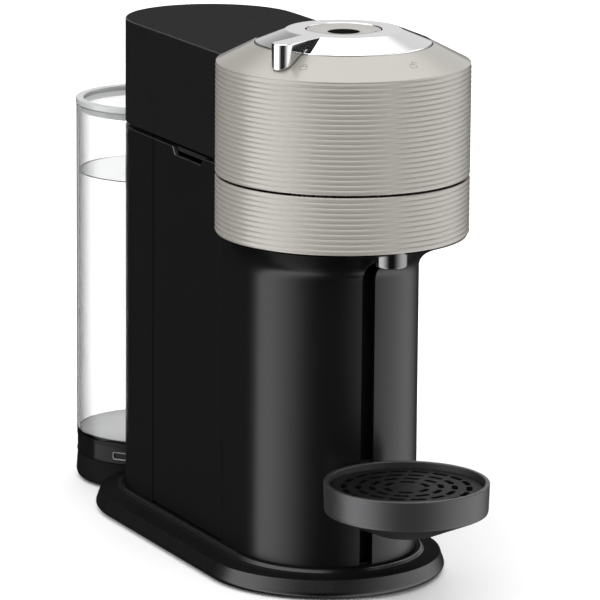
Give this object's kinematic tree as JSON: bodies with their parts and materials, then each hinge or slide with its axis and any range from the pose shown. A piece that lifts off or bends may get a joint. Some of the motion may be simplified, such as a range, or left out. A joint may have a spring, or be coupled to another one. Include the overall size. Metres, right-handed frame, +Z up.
{
  "type": "pod coffee machine",
  "caption": "Narrow pod coffee machine: ribbed round head that hinges up, lever knob, cup support on a slotted column, side capsule bin and round clear water tank behind.",
  "frame": {"origin": "on the floor, under the middle of the whole machine's bounding box", "axes": "+Z up, +Y from the front (cup side) to the rear (tank side), +X to the right seen from the front"},
  "size_m": [0.142, 0.4292, 0.314],
  "materials": {
    "satin_black": "fine satin, soft highlights",
    "black_plastic": "plain moulded",
    "black_gloss": "polished",
    "champagne_plastic": "satin, ribbed",
    "satin_chrome": "bright, slightly brushed",
    "dark_chrome": "dark, polished",
    "anthracite": "satin, fine metallic",
    "clear_tank": "clear, polished",
    "clear_lid": "clear, lightly frosted",
    "smoke_plastic": "polished, dark",
    "rubber": "matt",
    "steel": "brushed",
    "pump_grey": "moulded",
    "heater_aluminium": "cast",
    "white_plastic": "moulded",
    "board_green": "lacquered",
    "hose_clear": "silicone"
  },
  "bodies": {
    "root": {"base_plate": "satin_black", "underside_cover": "black_plastic", "rubber_feet": "rubber", "underside_screws": "steel", "column_shell": "satin_black", "slot_rail": "black_plastic", "chassis": "black_plastic", "right_side_panel": "satin_black", "rear_body_shell": "satin_black", "cord_gland": "rubber", "top_deck": "black_plastic", "lid_hinge_pin": "steel", "lower_head_ring": "champagne_plastic", "coffee_collector": "black_plastic", "coffee_outlet": "dark_chrome", "head_deck": "black_plastic", "spin_motor": "steel", "shaft_bearing": "steel", "water_pump": "pump_grey", "pump_mounts": "rubber", "water_heater": "heater_aluminium", "flow_meter": "white_plastic", "control_board": "board_green", "water_hoses": "hose_clear", "tank_dock": "satin_black", "dock_foot": "rubber", "tank_valve_seat": "black_plastic"},
    "lid": {"lid_cover": "satin_black", "upper_head_ring": "champagne_plastic", "lid_frame": "black_plastic", "lid_seal": "rubber", "button_housing": "black_plastic", "brew_switch": "white_plastic"},
    "extractor": {"extraction_plate": "steel"},
    "knob": {"lever_knob": "satin_chrome", "lock_ring": "steel"},
    "button": {"brew_button": "champagne_plastic", "button_centre": "black_gloss"},
    "container": {"capsule_container": "satin_black"},
    "tank": {"tank_shell": "clear_tank", "tank_base_ring": "smoke_plastic", "tank_valve": "white_plastic"},
    "tank_cap": {"tank_lid": "clear_lid"},
    "support": {"cup_support": "anthracite"},
    "grid": {"drip_grid": "black_plastic"},
    "holder": {"capsule_holder": "steel"}
  },
  "joints": [
    {"name": "lid_hinge", "type": "hinge", "parent": "root", "child": "lid", "pos_m": [0, 0.1256, 0.246], "axis": [-1, 0, 0], "range_deg": [0, 45]},
    {"name": "lever_turn", "type": "hinge", "parent": "lid", "child": "knob", "pos_m": [0, -0.0864, 0.31], "axis": [0, 0, 1], "range_deg": [0, 60]},
    {"name": "button_press", "type": "slide", "parent": "lid", "child": "button", "axis": [0, 0, 1], "range_m": [-0.0015, 0], "stiffness_N_per_m": 1000, "springref_m": 0.001},
    {"name": "holder_spin", "type": "hinge", "parent": "root", "child": "holder", "pos_m": [0, -0.0864, 0.21], "axis": [0, 0, 1], "continuous": true},
    {"name": "extractor_spin", "type": "hinge", "parent": "lid", "child": "extractor", "pos_m": [0, -0.0864, 0.235], "axis": [0, 0, 1], "continuous": true},
    {"name": "container_slide", "type": "slide", "parent": "root", "child": "container", "axis": [-1, 0, 0], "range_m": [0, 0.1]},
    {"name": "tank_lift", "type": "slide", "parent": "root", "child": "tank", "axis": [0, 0.7071, 0.7071], "range_m": [0, 0.12]},
    {"name": "tank_lid_lift", "type": "slide", "parent": "tank", "child": "tank_cap", "axis": [0, 0, 1], "range_m": [0, 0.06]},
    {"name": "cup_support_slide", "type": "slide", "parent": "root", "child": "support", "axis": [0, 0, 1], "range_m": [-0.025, 0.07]},
    {"name": "grid_lift", "type": "slide", "parent": "support", "child": "grid", "axis": [0, 0, 1], "range_m": [0, 0.04]}
  ],
  "couplings": [
    {"joint": "extractor_spin", "follows": "holder_spin", "ratio": 1}
  ]
}
